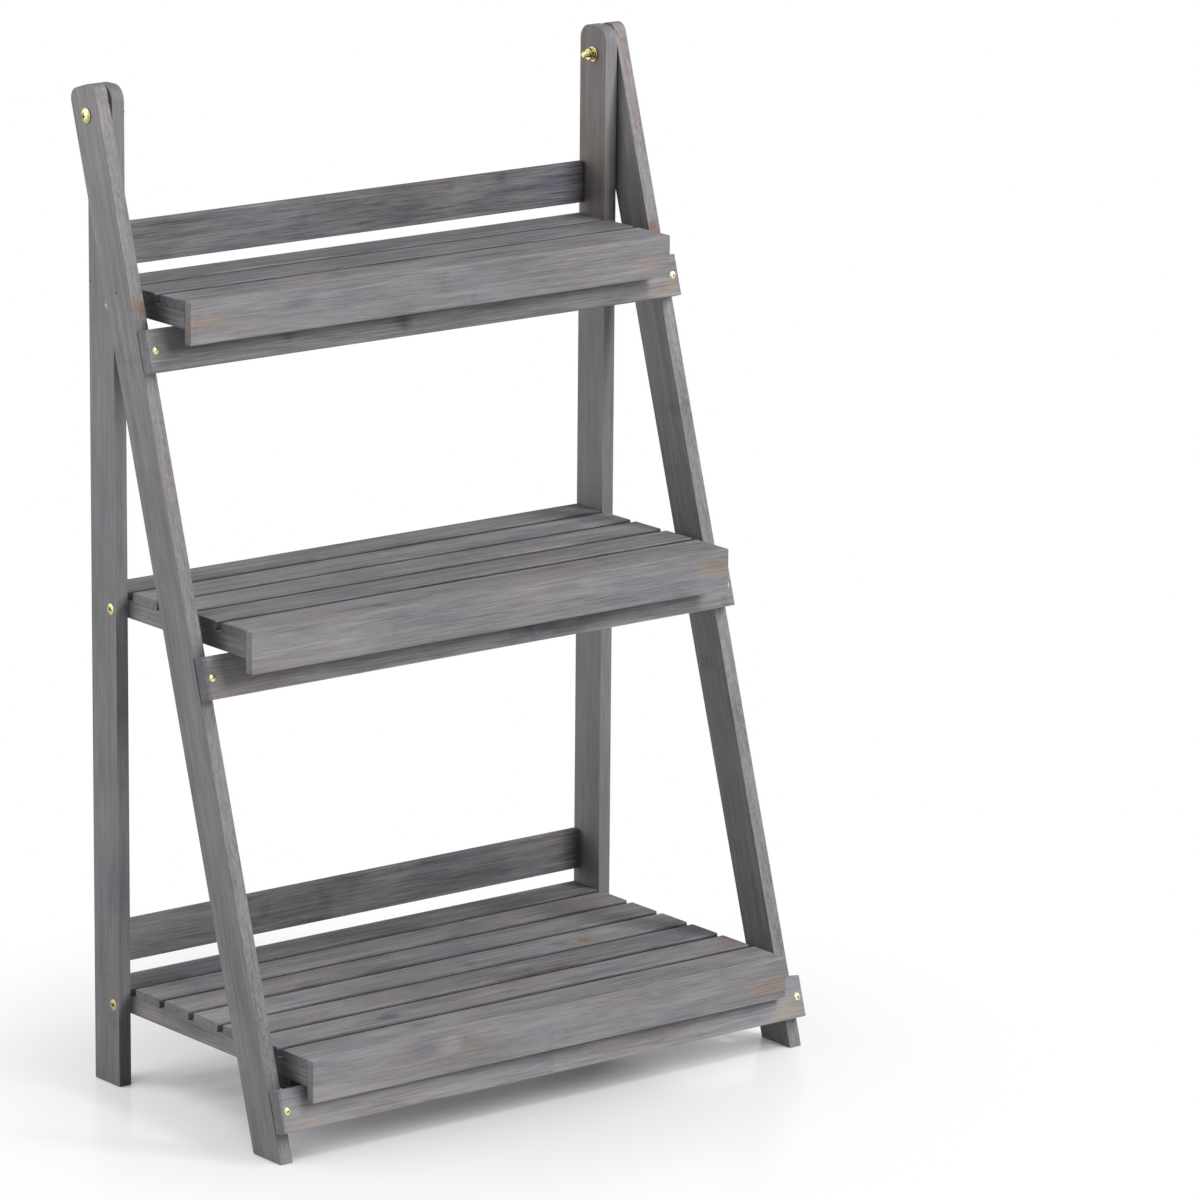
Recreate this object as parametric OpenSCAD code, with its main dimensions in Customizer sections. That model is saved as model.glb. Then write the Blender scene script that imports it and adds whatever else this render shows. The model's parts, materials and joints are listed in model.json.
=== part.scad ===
// Folding ladder plant stand: two upright rear posts, a ladder of two slanted front legs with three
// rails, and three slatted shelves that rest on the rails. To fold the stand, the shelves swing up
// between the posts and the ladder closes against the posts.
// X runs to the right, Y to the rear and Z up. The origin is on the floor, in the middle of the
// footprint. The part is drawn standing open.

/* [Overall] */
// Width over the outer faces of the front legs
stand_w = 600; // [480:1:800]
// Height of the rear posts
post_h = 930; // [890:1:1100]

/* [Posts and legs] */
// Depth of a rear post, front to back
post_w = 39; // [36:0.5:50]
// Thickness of a rear post
post_t = 13; // [11:0.5:20]
// Width of a front leg, square to its length
leg_w = 40; // [36:0.5:50]
// Thickness of a front leg
leg_t = 13; // [10:0.5:20]
// Corner radius at the top of a rear post
post_top_r = 14; // [6:0.5:17]
// Corner radius at the top of a front leg
leg_top_r = 11; // [6:0.5:17]
// From the top of a post down to the ladder's pivot
pivot_drop = 27; // [22:0.5:40]

/* [Ladder rails] */
// Height of a ladder rail
rail_h = 39; // [30:0.5:45]
// Thickness of a ladder rail
rail_t = 15; // [10:0.5:18]

/* [Back rails] */
// Height of a back rail
back_rail_h = 39; // [30:0.5:60]
// Thickness of a back rail
back_rail_t = 8; // [6:0.5:12]
// Gap between the top shelf and the upper back rail
upper_back_rail_gap = 11; // [5:0.5:40]
// Gap between the bottom shelf and the lower back rail
lower_back_rail_gap = 14.5; // [5:0.5:60]

/* [Shelves] */
// From the top of a post down to the top shelf's upper face
top_shelf_drop = 181; // [140:1:195]
// From the top shelf down to the middle shelf's upper face
middle_shelf_drop = 282; // [270:1:310]
// Height of the bottom shelf's upper face
bottom_shelf_z = 93; // [80:1:130]
// Width of a slat
slat_w = 38; // [35:0.5:40]
// Thickness of a slat
slat_t = 9; // [7:0.5:12]
// Gap between slats
slat_gap = 8; // [5:0.5:10]
// Width of a batten under the slats
batten_w = 40; // [30:0.5:50]
// Thickness of a batten
batten_t = 16; // [15.5:0.5:20]
// Height of a shelf's front board
fascia_h = 39; // [32:0.5:45]
// Thickness of a shelf's front board
fascia_t = 9; // [7:0.5:12]
// Gap between a shelf's end and the post beside it
side_gap = 0.8; // [0.5:0.1:2]
// Rounding along the edges of the slats, rails and front boards
ease_r = 1; // [0.5:0.25:3]

/* [Stop blocks] */
// Length of a stop block, front to back
block_l = 40; // [25:1:60]
// Thickness of a stop block
block_t = 12; // [8:0.5:13]
// Free space behind the bottom rail, which the rail crosses while the shelf lifts
block_gap = 5; // [5:0.5:12]

/* [Folding] */
// Height of a shelf's pivot above the underside of its battens
pivot_rise = 8.5; // [7:0.25:9]
// Space between a folded shelf's battens and the folded ladder's rails
fold_gap = 1; // [0.5:0.1:3]
// Space between the folded ladder's rails and the front faces of the posts
rail_gap = 0.5; // [0.3:0.1:2]
// Space between the bottom rail and the lower edge of the front board that hooks over it
hook_gap = 1.6; // [1:0.1:4]
// Gap that is left where the battens rest on the rails
rest_gap = 0.3; // [0.2:0.1:0.5]

/* [Hardware] */
// Diameter of the pivot bolts' shanks
bolt_d = 6; // [5:0.5:6]
// Difference between a bolt's diameter and its hole's
bolt_play = 0.1; // [0.04:0.02:0.18]
// Length of bolt that stands out beyond a ladder pivot's nut
ladder_bolt_end = 6; // [1:0.5:8]
// Length of bolt that stands out beyond a shelf pivot's nut
shelf_bolt_end = 1.5; // [1:0.5:6]
// Diameter of the ladder bolts' domed heads
dome_head_d = 14.5; // [12:0.5:18]
// Height of the ladder bolts' domed heads
dome_head_h = 3.2; // [2.5:0.1:4.5]
// Diameter of the shelf bolts' flush heads
flush_head_d = 10.5; // [9:0.5:12]
// Height of the cone under a flush head
flush_head_h = 3; // [2:0.25:4]
// Size of a nut across its flats
nut_af = 10; // [8:0.5:10]
// Thickness of a nut
nut_t = 5; // [3:0.5:6]
// Outer diameter of a washer
washer_d = 14; // [11:0.5:14]
// Thickness of a washer
washer_t = 1.2; // [0.8:0.1:2]
// Clearance beside the washers and bolt heads, so that the legs and shelves turn freely
running_gap = 0.2; // [0.1:0.05:0.3]
// Diameter of the rail screws' shanks
screw_d = 3.5; // [3:0.25:4.5]
// Diameter of the rail screws' heads
screw_head_d = 7; // [6:0.25:9]
// Height of the rail screws' heads
screw_head_h = 1.6; // [1:0.1:2.5]
// Depth that a rail screw reaches into the leg
screw_depth = 20; // [12:1:28]

/* [Hidden] */

$fn = 48;

// Driver recess: its span and depth as shares of the head's diameter and height, and the width of
// its slots as a share of its span
recess_span = 0.5;
recess_depth = 0.6;
recess_slot = 0.2;

wood = [0.50, 0.50, 0.51];
brass = [0.80, 0.71, 0.38];

// Slats of each shelf, and the direction of each side of the stand
top_slats = 3;
middle_slats = 5;
bottom_slats = 7;
left = -1;
right = 1;

// Places across the stand: inner faces of the legs, and outer and inner faces of the posts
leg_in = stand_w / 2 - leg_t;
leg_gap = washer_t + running_gap;
post_out = leg_in - leg_gap;
post_in = post_out - post_t;
shelf_end = post_in - side_gap;

// Depths are measured forwards from the rear faces of the posts
function slats_depth(slats) = slats * slat_w + (slats - 1) * slat_gap;
pivot_depth = post_w + rail_gap - leg_w / 2;
hinge_depth = post_w + rail_gap - fold_gap - pivot_rise;
pivot_z = post_h - pivot_drop;

// The ladder opens until its bottom rail lies behind the lower edge of the bottom shelf's fascia
hook_z = bottom_shelf_z - fascia_h;
hook_reach = slats_depth(bottom_slats) - hook_gap - pivot_depth;
hook_fall = pivot_z - hook_z;
open_angle = acos((leg_w / 2 + rail_t) / norm([hook_fall, hook_reach])) - atan2(hook_fall, hook_reach);

// The leg's rounded head reaches behind the posts, so the footprint starts there
head_back = (pivot_drop - leg_top_r) * sin(open_angle)
    + (leg_w / 2 - leg_top_r) * cos(open_angle)
    + leg_top_r;
total_depth = slats_depth(bottom_slats) + fascia_t + head_back - pivot_depth;
rear_y = total_depth / 2 - (head_back - pivot_depth);
pivot_y = rear_y - pivot_depth;
hinge_y = rear_y - hinge_depth;

// Heights of the upper faces of the top and middle shelves
top_shelf_z = post_h - top_shelf_drop;
middle_shelf_z = top_shelf_z - middle_shelf_drop;

// A leg runs past the floor before its foot is cut level
leg_drop = (pivot_z + leg_w) / cos(open_angle);

function underside_z(shelf_z) = shelf_z - slat_t - batten_t;
function hinge_z(shelf_z) = underside_z(shelf_z) + pivot_rise;
// Distance along the leg from the pivot to the top of the rail that carries a shelf
function rail_top(shelf_z) =
    (pivot_z + (leg_w / 2 + rail_t) * sin(open_angle) - underside_z(shelf_z) + rest_gap) / cos(open_angle);

shelf_heights = [top_shelf_z, middle_shelf_z, bottom_shelf_z];
hole_d = bolt_d + bolt_play;
screw_hole_d = screw_d + bolt_play;
screw_x = stand_w / 2 - leg_t / 2;
dome_r = (pow(dome_head_d / 2, 2) + pow(dome_head_h, 2)) / (2 * dome_head_h);
screw_dome_r = (pow(screw_head_d / 2, 2) + pow(screw_head_h, 2)) / (2 * screw_head_h);

// Draws the right-hand piece, or its mirror image on the left
module on_side(side) {
    mirror([side < 0 ? 1 : 0, 0, 0])
        children();
}

// Moves to the ladder's own frame: origin on the pivot, Z up along the leg and Y square to it
module in_ladder() {
    translate([0, pivot_y, pivot_z])
        rotate([-open_angle, 0, 0])
            children();
}

// Rectangle with rounded corners
module eased_rect(w, h, r) {
    translate([r, 0])
        square([w - 2 * r, h]);
    translate([0, r])
        square([w, h - 2 * r]);
    for (x = [r, w - r], y = [r, h - r])
        translate([x, y])
            circle(r);
}

// Rectangle whose two upper corners are rounded
module round_top(w, h, r) {
    square([w, h - r]);
    translate([r, h - 2 * r])
        square([w - 2 * r, 2 * r]);
    for (x = [r, w - r])
        translate([x, h - r])
            circle(r);
}

// Extrudes a side view, drawn as [Y, Z], along X
module along_x(length) {
    rotate([90, 0, 90])
        linear_extrude(length)
            children();
}

// Upright board seen from the side, with a rounded top
module upright(thickness, w, h, r) {
    along_x(thickness)
        round_top(w, h, r);
}

// Board along X, centred, with eased edges. Its rear lower edge starts at y and z
module cross_board(length, y, z, depth, height) {
    translate([-length / 2, y - depth, z])
        along_x(length)
            eased_rect(depth, height, ease_r);
}

// Cylinder along X that starts at x, on the axis through y and z
module pin_x(x, y, z, d, length) {
    translate([x, y, z])
        rotate([0, 90, 0])
            cylinder(h = length, d = d);
}

// Cross-shaped recess for a driver, cut downwards from z = 0 into a head
module cross_recess(head_d, head_h) {
    span = head_d * recess_span;
    slot = span * recess_slot;
    depth = head_h * recess_depth;
    for (turn = [0, 90])
        rotate([0, 0, turn])
            translate([-span / 2, -slot / 2, -depth])
                cube([span, slot, depth + 1]);
}

// Domed head that stands on z = 0, with a driver recess in its crown
module dome_head(d, h, r) {
    difference() {
        intersection() {
            cylinder(h = h, d = d);
            translate([0, 0, h - r])
                sphere(r);
        }
        translate([0, 0, h])
            cross_recess(d, h);
    }
}

// Six-sided nut on z = 0, with a hole for the bolt. A cone takes the corners off its outer end
module hex_nut() {
    corner_d = nut_af / cos(30);
    difference() {
        intersection() {
            cylinder(h = nut_t, d = corner_d, $fn = 6);
            cylinder(h = nut_t, d1 = nut_af + 4 * nut_t, d2 = nut_af);
        }
        translate([0, 0, -1])
            cylinder(h = nut_t + 2, d = hole_d);
    }
}

module washer() {
    difference() {
        cylinder(h = washer_t, d = washer_d);
        translate([0, 0, -1])
            cylinder(h = washer_t + 2, d = hole_d);
    }
}

module rear_post(side) {
    color(wood)
        on_side(side)
            difference() {
                translate([post_out - post_t, rear_y - post_w, 0])
                    upright(post_t, post_w, post_h, post_top_r);
                pin_x(post_in - 1, pivot_y, pivot_z, hole_d, post_t + 2);
                for (shelf_z = shelf_heights) {
                    pin_x(post_in - 1, hinge_y, hinge_z(shelf_z), hole_d, post_t + 2);
                    translate([post_out, hinge_y, hinge_z(shelf_z)])
                        rotate([0, -90, 0])
                            flush_cone(bolt_play);
                }
            }
}

// Cone of a flush head, pointing up from its face at z = 0, and a hair of air above the face
module flush_cone(play) {
    cylinder(h = flush_head_h, d1 = flush_head_d + play, d2 = bolt_d + play);
    if (play > 0)
        translate([0, 0, -1])
            cylinder(h = 1, d = flush_head_d + play);
}

module back_rail(shelf_z, gap) {
    color(wood)
        cross_board(2 * post_in, rear_y, shelf_z + gap, back_rail_t, back_rail_h);
}

module front_leg(side) {
    color(wood)
        on_side(side)
            difference() {
                in_ladder()
                    difference() {
                        translate([leg_in, -leg_w / 2, -leg_drop])
                            upright(leg_t, leg_w, leg_drop + pivot_drop, leg_top_r);
                        pin_x(leg_in - 1, 0, 0, hole_d, leg_t + 2);
                        for (shelf_z = shelf_heights)
                            screw_place(shelf_z)
                                translate([0, 0, -rail_t - screw_depth - 1])
                                    cylinder(h = screw_depth + 1, d = screw_hole_d);
                    }
                translate([leg_in - 1, -total_depth, -2 * leg_w])
                    cube([leg_t + 2, 2 * total_depth, 2 * leg_w]);
            }
}

// Middle of a rail's front face at the leg, in the ladder's frame, with Z pointing out of the face
module screw_place(shelf_z) {
    translate([screw_x, -leg_w / 2 - rail_t, -rail_top(shelf_z) - rail_h / 2])
        rotate([90, 0, 0])
            children();
}

module front_rail(shelf_z) {
    color(wood)
        in_ladder()
            difference() {
                cross_board(stand_w, -leg_w / 2, -rail_top(shelf_z) - rail_h, rail_t, rail_h);
                for (side = [left, right])
                    on_side(side)
                        screw_place(shelf_z)
                            translate([0, 0, -rail_t - 1])
                                cylinder(h = rail_t + 2, d = screw_hole_d);
            }
}

// Batten under the slats, from the rear edge of the shelf to its fascia. An outer batten has the
// hole for the shelf's pivot bolt
module batten(shelf_z, slats, x) {
    color(wood)
        difference() {
            translate([x - batten_w / 2, rear_y - slats_depth(slats), underside_z(shelf_z)])
                cube([batten_w, slats_depth(slats), batten_t]);
            if (x != 0)
                pin_x(x - batten_w / 2 - 1, hinge_y, hinge_z(shelf_z), hole_d, batten_w + 2);
        }
}
batten_x = shelf_end - batten_w / 2;

module slat(shelf_z, number) {
    color(wood)
        cross_board(
            2 * shelf_end, rear_y - (number - 1) * (slat_w + slat_gap), shelf_z - slat_t, slat_w, slat_t);
}

module fascia(shelf_z, slats) {
    color(wood)
        cross_board(
            2 * shelf_end, rear_y - slats_depth(slats), shelf_z - fascia_h, fascia_t, fascia_h);
}

// Block under an outer batten that keeps the bottom rail behind the fascia
rail_back_depth = pivot_depth
    + rail_top(bottom_shelf_z) * sin(open_angle) + leg_w / 2 * cos(open_angle);
module stop_block(side) {
    color(wood)
        on_side(side)
            translate([
                shelf_end - batten_w,
                rear_y - rail_back_depth + block_gap,
                underside_z(bottom_shelf_z) - block_t
            ])
                cube([batten_w, block_l, block_t]);
}

// The four kinds of ladder hardware lie on the pivot's axis, from the leg's face inwards
module ladder_pivot_bolts() {
    reach = leg_t + leg_gap + post_t + washer_t + nut_t + ladder_bolt_end;
    color(brass)
        for (side = [left, right])
            on_side(side) {
                pin_x(stand_w / 2 - reach, pivot_y, pivot_z, bolt_d, reach + running_gap);
                translate([stand_w / 2 + running_gap, pivot_y, pivot_z])
                    rotate([0, 90, 0])
                        dome_head(dome_head_d, dome_head_h, dome_r);
            }
}

module ladder_pivot_spacers() {
    color(brass)
        for (side = [left, right])
            on_side(side)
                translate([post_out, pivot_y, pivot_z])
                    rotate([0, 90, 0])
                        washer();
}

module ladder_pivot_washers() {
    color(brass)
        for (side = [left, right])
            on_side(side)
                translate([post_in, pivot_y, pivot_z])
                    rotate([0, -90, 0])
                        washer();
}

module ladder_pivot_nuts() {
    color(brass)
        for (side = [left, right])
            on_side(side)
                translate([post_in - washer_t, pivot_y, pivot_z])
                    rotate([0, -90, 0])
                        hex_nut();
}

// Places a child on each of the six shelf pivots, with Z pointing inwards from the post's outer face
module on_shelf_pivots() {
    for (side = [left, right], shelf_z = shelf_heights)
        on_side(side)
            translate([post_out, hinge_y, hinge_z(shelf_z)])
                rotate([0, -90, 0])
                    children();
}
batten_face = post_t + side_gap + batten_w;

module shelf_pivot_bolts() {
    reach = batten_face + running_gap + washer_t + nut_t + shelf_bolt_end;
    color(brass)
        on_shelf_pivots()
            difference() {
                union() {
                    flush_cone(0);
                    cylinder(h = reach, d = bolt_d);
                }
                mirror([0, 0, 1])
                    cross_recess(flush_head_d, flush_head_h);
            }
}

module shelf_pivot_washers() {
    color(brass)
        on_shelf_pivots()
            translate([0, 0, batten_face + running_gap])
                washer();
}

module shelf_pivot_nuts() {
    color(brass)
        on_shelf_pivots()
            translate([0, 0, batten_face + running_gap + washer_t])
                hex_nut();
}

module rail_screws() {
    color(brass)
        in_ladder()
            for (side = [left, right], shelf_z = shelf_heights)
                on_side(side)
                    screw_place(shelf_z) {
                        dome_head(screw_head_d, screw_head_h, screw_dome_r);
                        translate([0, 0, -rail_t - screw_depth])
                            cylinder(h = rail_t + screw_depth, d = screw_d);
                    }
}

rear_post(left);  // rear_post_left
rear_post(right);  // rear_post_right
back_rail(top_shelf_z, upper_back_rail_gap);  // back_rail_upper
back_rail(bottom_shelf_z, lower_back_rail_gap);  // back_rail_lower
front_leg(left);  // front_leg_left
front_leg(right);  // front_leg_right
front_rail(top_shelf_z);  // front_rail_top
front_rail(middle_shelf_z);  // front_rail_middle
front_rail(bottom_shelf_z);  // front_rail_bottom
batten(top_shelf_z, top_slats, -batten_x);  // top_batten_left
batten(top_shelf_z, top_slats, 0);  // top_batten_middle
batten(top_shelf_z, top_slats, batten_x);  // top_batten_right
fascia(top_shelf_z, top_slats);  // top_fascia
slat(top_shelf_z, 1);  // top_slat_1
slat(top_shelf_z, 2);  // top_slat_2
slat(top_shelf_z, 3);  // top_slat_3
batten(middle_shelf_z, middle_slats, -batten_x);  // middle_batten_left
batten(middle_shelf_z, middle_slats, 0);  // middle_batten_middle
batten(middle_shelf_z, middle_slats, batten_x);  // middle_batten_right
fascia(middle_shelf_z, middle_slats);  // middle_fascia
slat(middle_shelf_z, 1);  // middle_slat_1
slat(middle_shelf_z, 2);  // middle_slat_2
slat(middle_shelf_z, 3);  // middle_slat_3
slat(middle_shelf_z, 4);  // middle_slat_4
slat(middle_shelf_z, 5);  // middle_slat_5
batten(bottom_shelf_z, bottom_slats, -batten_x);  // bottom_batten_left
batten(bottom_shelf_z, bottom_slats, 0);  // bottom_batten_middle
batten(bottom_shelf_z, bottom_slats, batten_x);  // bottom_batten_right
fascia(bottom_shelf_z, bottom_slats);  // bottom_fascia
slat(bottom_shelf_z, 1);  // bottom_slat_1
slat(bottom_shelf_z, 2);  // bottom_slat_2
slat(bottom_shelf_z, 3);  // bottom_slat_3
slat(bottom_shelf_z, 4);  // bottom_slat_4
slat(bottom_shelf_z, 5);  // bottom_slat_5
slat(bottom_shelf_z, 6);  // bottom_slat_6
slat(bottom_shelf_z, 7);  // bottom_slat_7
stop_block(left);  // stop_block_left
stop_block(right);  // stop_block_right
ladder_pivot_bolts();
ladder_pivot_spacers();
ladder_pivot_washers();
ladder_pivot_nuts();
shelf_pivot_bolts();
shelf_pivot_washers();
shelf_pivot_nuts();
rail_screws();
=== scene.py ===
"""Looks of the folding plant ladder stand: grey-washed pine boards, yellow-plated hardware, studio."""
import json
import math
import random

import bmesh
import bpy
from mathutils import Matrix, Vector


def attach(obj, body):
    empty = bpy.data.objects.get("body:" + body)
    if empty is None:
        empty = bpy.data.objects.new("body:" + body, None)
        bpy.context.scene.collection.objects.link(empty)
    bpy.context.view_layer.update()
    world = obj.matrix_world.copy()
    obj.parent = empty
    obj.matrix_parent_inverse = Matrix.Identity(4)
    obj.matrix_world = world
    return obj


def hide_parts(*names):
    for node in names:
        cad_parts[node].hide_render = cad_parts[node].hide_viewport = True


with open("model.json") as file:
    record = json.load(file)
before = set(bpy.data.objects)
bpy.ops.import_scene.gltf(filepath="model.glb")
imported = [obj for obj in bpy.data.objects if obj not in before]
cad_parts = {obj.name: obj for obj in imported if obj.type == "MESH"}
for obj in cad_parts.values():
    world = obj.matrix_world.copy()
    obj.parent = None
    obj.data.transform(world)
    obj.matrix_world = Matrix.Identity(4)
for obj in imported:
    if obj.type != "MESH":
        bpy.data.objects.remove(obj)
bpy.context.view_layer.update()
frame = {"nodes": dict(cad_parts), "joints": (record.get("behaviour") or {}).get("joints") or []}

MM = 0.001
TIERS = ("top", "middle", "bottom")
nodes = frame["nodes"]
joints = {joint["name"]: joint for joint in frame["joints"]}
open_angle = math.radians(joints["ladder_fold"]["range_deg"][1])
ladder_pivot = Vector(joints["ladder_fold"]["pos_m"])
shelf_pivots = [Vector(joints[f"{tier}_shelf_fold"]["pos_m"]) for tier in TIERS]


# ---------------------------------------------------------------- node trees

class Tree:
    """Builds a node tree. Each call adds its nodes: node returns the node itself, and the others return
    the output that is used."""

    def __init__(self, tree):
        self.tree = tree

    def link(self, output, target):
        self.tree.links.new(output, target)

    def node(self, kind, inputs=None, **settings):
        """Adds one node. Each of its inputs is a value or the output of another node."""
        made = self.tree.nodes.new(kind)
        for name, value in settings.items():
            setattr(made, name, value)
        for key, value in (inputs or {}).items():
            if isinstance(value, bpy.types.NodeSocket):
                self.link(value, made.inputs[key])
            else:
                made.inputs[key].default_value = value
        return made

    def math(self, operation, a, b=0.0, c=0.0):
        return self.node("ShaderNodeMath", {0: a, 1: b, 2: c}, operation=operation).outputs[0]

    def swing(self, value, amount, base):
        """base plus amount times (value - 0.5)."""
        return self.math("MULTIPLY_ADD", self.math("SUBTRACT", value, 0.5), amount, base)

    def vector(self, operation, a, b=(0, 0, 0)):
        return self.node("ShaderNodeVectorMath", {0: a, 1: b}, operation=operation).outputs["Vector"]

    def scaled(self, vector, scale):
        return self.vector("MULTIPLY", vector, scale)

    def length(self, vector):
        return self.node("ShaderNodeVectorMath", {0: vector}, operation="LENGTH").outputs["Value"]

    def parts(self, vector):
        """The outputs X, Y and Z of a vector."""
        return self.node("ShaderNodeSeparateXYZ", {0: vector}).outputs

    def noise(self, vector, scale=1.0, detail=2.0, roughness=0.5, distortion=0.0):
        return self.node("ShaderNodeTexNoise", {
            "Vector": vector, "Scale": scale, "Detail": detail, "Roughness": roughness,
            "Distortion": distortion,
        }).outputs["Fac"]

    def remap(self, value, low, high, to_low=0.0, to_high=1.0, smooth=True):
        return self.node("ShaderNodeMapRange", {
            "Value": value, "From Min": low, "From Max": high, "To Min": to_low, "To Max": to_high,
        }, interpolation_type="SMOOTHSTEP" if smooth else "LINEAR").outputs["Result"]

    def mix(self, factor, a, b, blend="MIX"):
        """Mixes two colours. The factor is held between 0 and 1."""
        made = self.node("ShaderNodeMix", {0: factor, 6: a, 7: b}, data_type="RGBA", blend_type=blend)
        return made.outputs[2]


def new_material(name):
    """Material with a node tree. Returns it, its tree's builder and its shader's node."""
    material = bpy.data.materials.new(name)
    material.use_nodes = True
    return material, Tree(material.node_tree), material.node_tree.nodes["Principled BSDF"]


def new_group(name, inputs, outputs):
    """Node group with the given sockets, each a label and a kind. Returns its builder, the sockets that
    its inputs come in by and those that its outputs go to."""
    tree = bpy.data.node_groups.new(name, "ShaderNodeTree")
    for way, sockets in (("INPUT", inputs), ("OUTPUT", outputs)):
        for label, kind in sockets.items():
            tree.interface.new_socket(label, in_out=way, socket_type="NodeSocket" + kind)
    entry = tree.nodes.new("NodeGroupInput").outputs
    result = tree.nodes.new("NodeGroupOutput").inputs
    return Tree(tree), entry, result


def rgb(red, green, blue):
    """Colour from 0-255 display values."""
    def linear(value):
        share = value / 255
        return share / 12.92 if share <= 0.04045 else ((share + 0.055) / 1.055) ** 2.4
    return linear(red), linear(green), linear(blue), 1.0


# ---------------------------------------------------------------- wood

GREY_DARK = rgb(83, 82, 86)
GREY_LIGHT = rgb(157, 155, 156)
KNOT_HEART = rgb(106, 68, 54)
KNOT_RIM = rgb(158, 112, 90)
# What a stain, or a painted shade, multiplies the wood's colour by
STAINS_AND_SHADES = {
    "blue": (0.85, 0.875, 0.965, 1),
    "warm": (1.05, 0.96, 0.90, 1),
    "tan": (1.16, 1.03, 0.91, 1),
    "straw": (1.07, 1.04, 0.96, 1),
    "pink": (1.12, 1.07, 1.02, 1),
    "orange": (0.92, 0.64, 0.54, 1),
    "dark": (0.68, 0.69, 0.72, 1),
    "pale": (1.24, 1.23, 1.21, 1),
    # Painted shade, in the gaps between slats
    "shade": (0.30, 0.30, 0.32, 1),
    # Small dark pits, and painted shade in the joints of the front rails with the legs
    "pit_and_shade": (0.12, 0.12, 0.13, 1),
}
# Shares of the reach of a patch of stain or of painted shade: where it is still full, where it is gone,
# and how far its outline, and that of a pit or of the painted shade in a joint, wanders with the cloud
PATCH_FULL = 0.35
PATCH_GONE = 1.25
PATCH_WANDER = 2.4
PIT_AND_SHADE_WANDER = 0.3
# How much of a look shows where it is strongest
TINT_SHARE = 0.6
END_GRAIN_SHARE = 0.6
KNOT_SHARE = 0.8
HALO_SHARE = 0.45
# How far down it takes for the painted shade in the gap before a slat to reach its full strength
GAP_FADE = 0.9 * MM


def knot_group():
    """A knot: it bends the grain round itself and gives its own mask and a halo."""
    t, entry, result = new_group(
        "knot",
        inputs={"Vector": "Vector", "Centre": "Vector", "Radius": "Float"},
        outputs={"Vector": "Vector", "Mask": "Float", "Halo": "Float"},
    )
    offset = t.vector("SUBTRACT", entry["Vector"], entry["Centre"])

    # A knot runs through the board's thickness, a little longer along the grain than across
    away = t.length(t.scaled(offset, (0.72, 1.0, 0.25)))
    wobble = t.noise(offset, scale=260)
    away = t.math("MULTIPLY_ADD", wobble, t.math("MULTIPLY", entry["Radius"], 0.8), away)
    share = t.math("DIVIDE", away, entry["Radius"])

    # Beyond the knot the grain parts and closes again over several radii
    along = t.length(t.scaled(offset, (0.28, 1.0, 0.1)))
    reach = t.math("DIVIDE", along, entry["Radius"])
    bend = t.math("EXPONENT", t.math("MULTIPLY", t.math("MULTIPLY", reach, reach), -0.22))
    across = t.parts(offset)["Y"]
    side = t.math("DIVIDE", across, t.math("ADD", t.math("ABSOLUTE", across), 2 * MM))
    push = t.math("MULTIPLY", t.math("MULTIPLY", side, bend), t.math("MULTIPLY", entry["Radius"], -0.9))
    shift = t.node("ShaderNodeCombineXYZ", {"Y": push}).outputs[0]

    t.link(t.vector("ADD", entry["Vector"], shift), result["Vector"])
    t.link(t.remap(share, 1.25, 0.95), result["Mask"])
    t.link(t.remap(share, 3.4, 0.6), result["Halo"])
    return t.tree


def grain_group():
    """Pine grain in the board's own frame: X along the grain, Y across it and Z through the board.

    Level is the wood's lightness, and Tint where it is warm (high) or bluish (low). Fibre and Relief
    drive its gloss and bump, and Cloud is for the outlines of its stains."""
    t, entry, result = new_group(
        "pine_grain",
        inputs={"Vector": "Vector", "Seed": "Vector", "Pith": "Vector", "Ring": "Float"},
        outputs=dict.fromkeys(("Level", "Tint", "Fibre", "Cloud", "Relief"), "Float"),
    )
    seeded = t.vector("ADD", entry["Vector"], entry["Seed"])

    def texture(along, across, **settings):
        """Noise with about that many blobs to the metre along the grain and across it."""
        return t.noise(t.scaled(seeded, (along, across, across)), **settings)

    fibre = texture(16, 640, detail=3, roughness=0.6)
    dash = texture(45, 1300, detail=2, roughness=0.6)
    streak = texture(5, 170, detail=3, roughness=0.6)
    cloud = texture(8, 30, detail=4, roughness=0.55, distortion=0.5)
    tint = texture(6, 26, scale=1.1, detail=3, distortion=0.4)
    smudge = t.remap(texture(34, 24, detail=3), 0.60, 0.76)

    # Growth rings round a pith that wanders along the board
    wander = t.node("ShaderNodeCombineXYZ", {
        "Y": t.math("MULTIPLY_ADD", texture(3.2, 9, detail=1), 22 * MM, -11 * MM),
        "Z": t.math("MULTIPLY_ADD", texture(2.1, 7, scale=1.3, detail=1), 16 * MM, -8 * MM),
    }).outputs[0]
    from_pith = t.vector("ADD", t.vector("SUBTRACT", entry["Vector"], entry["Pith"]), wander)
    radius = t.length(t.scaled(from_pith, (0, 1, 1)))
    phase = t.math("MULTIPLY", t.math("DIVIDE", radius, entry["Ring"]), 2 * math.pi)
    wave = t.math("MULTIPLY_ADD", t.math("SINE", phase), 0.5, 0.5)
    rings = t.math("MULTIPLY", t.math("POWER", wave, 2.0), t.remap(streak, 0.35, 0.6))

    level = 0.5
    for value, share in ((cloud, 0.85), (streak, 0.85), (fibre, 1.05), (dash, 0.75)):
        level = t.swing(value, share, level)
    for value, share in ((rings, -0.10), (smudge, -0.16)):
        level = t.math("MULTIPLY_ADD", value, share, level)
    relief = t.math("MULTIPLY_ADD", dash, 0.5, t.math("MULTIPLY_ADD", rings, -0.25, fibre))

    outputs = {"Level": level, "Tint": tint, "Fibre": fibre, "Cloud": cloud, "Relief": relief}
    for label, value in outputs.items():
        t.link(value, result[label])
    return t.tree


KNOT = knot_group()
GRAIN = grain_group()

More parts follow.
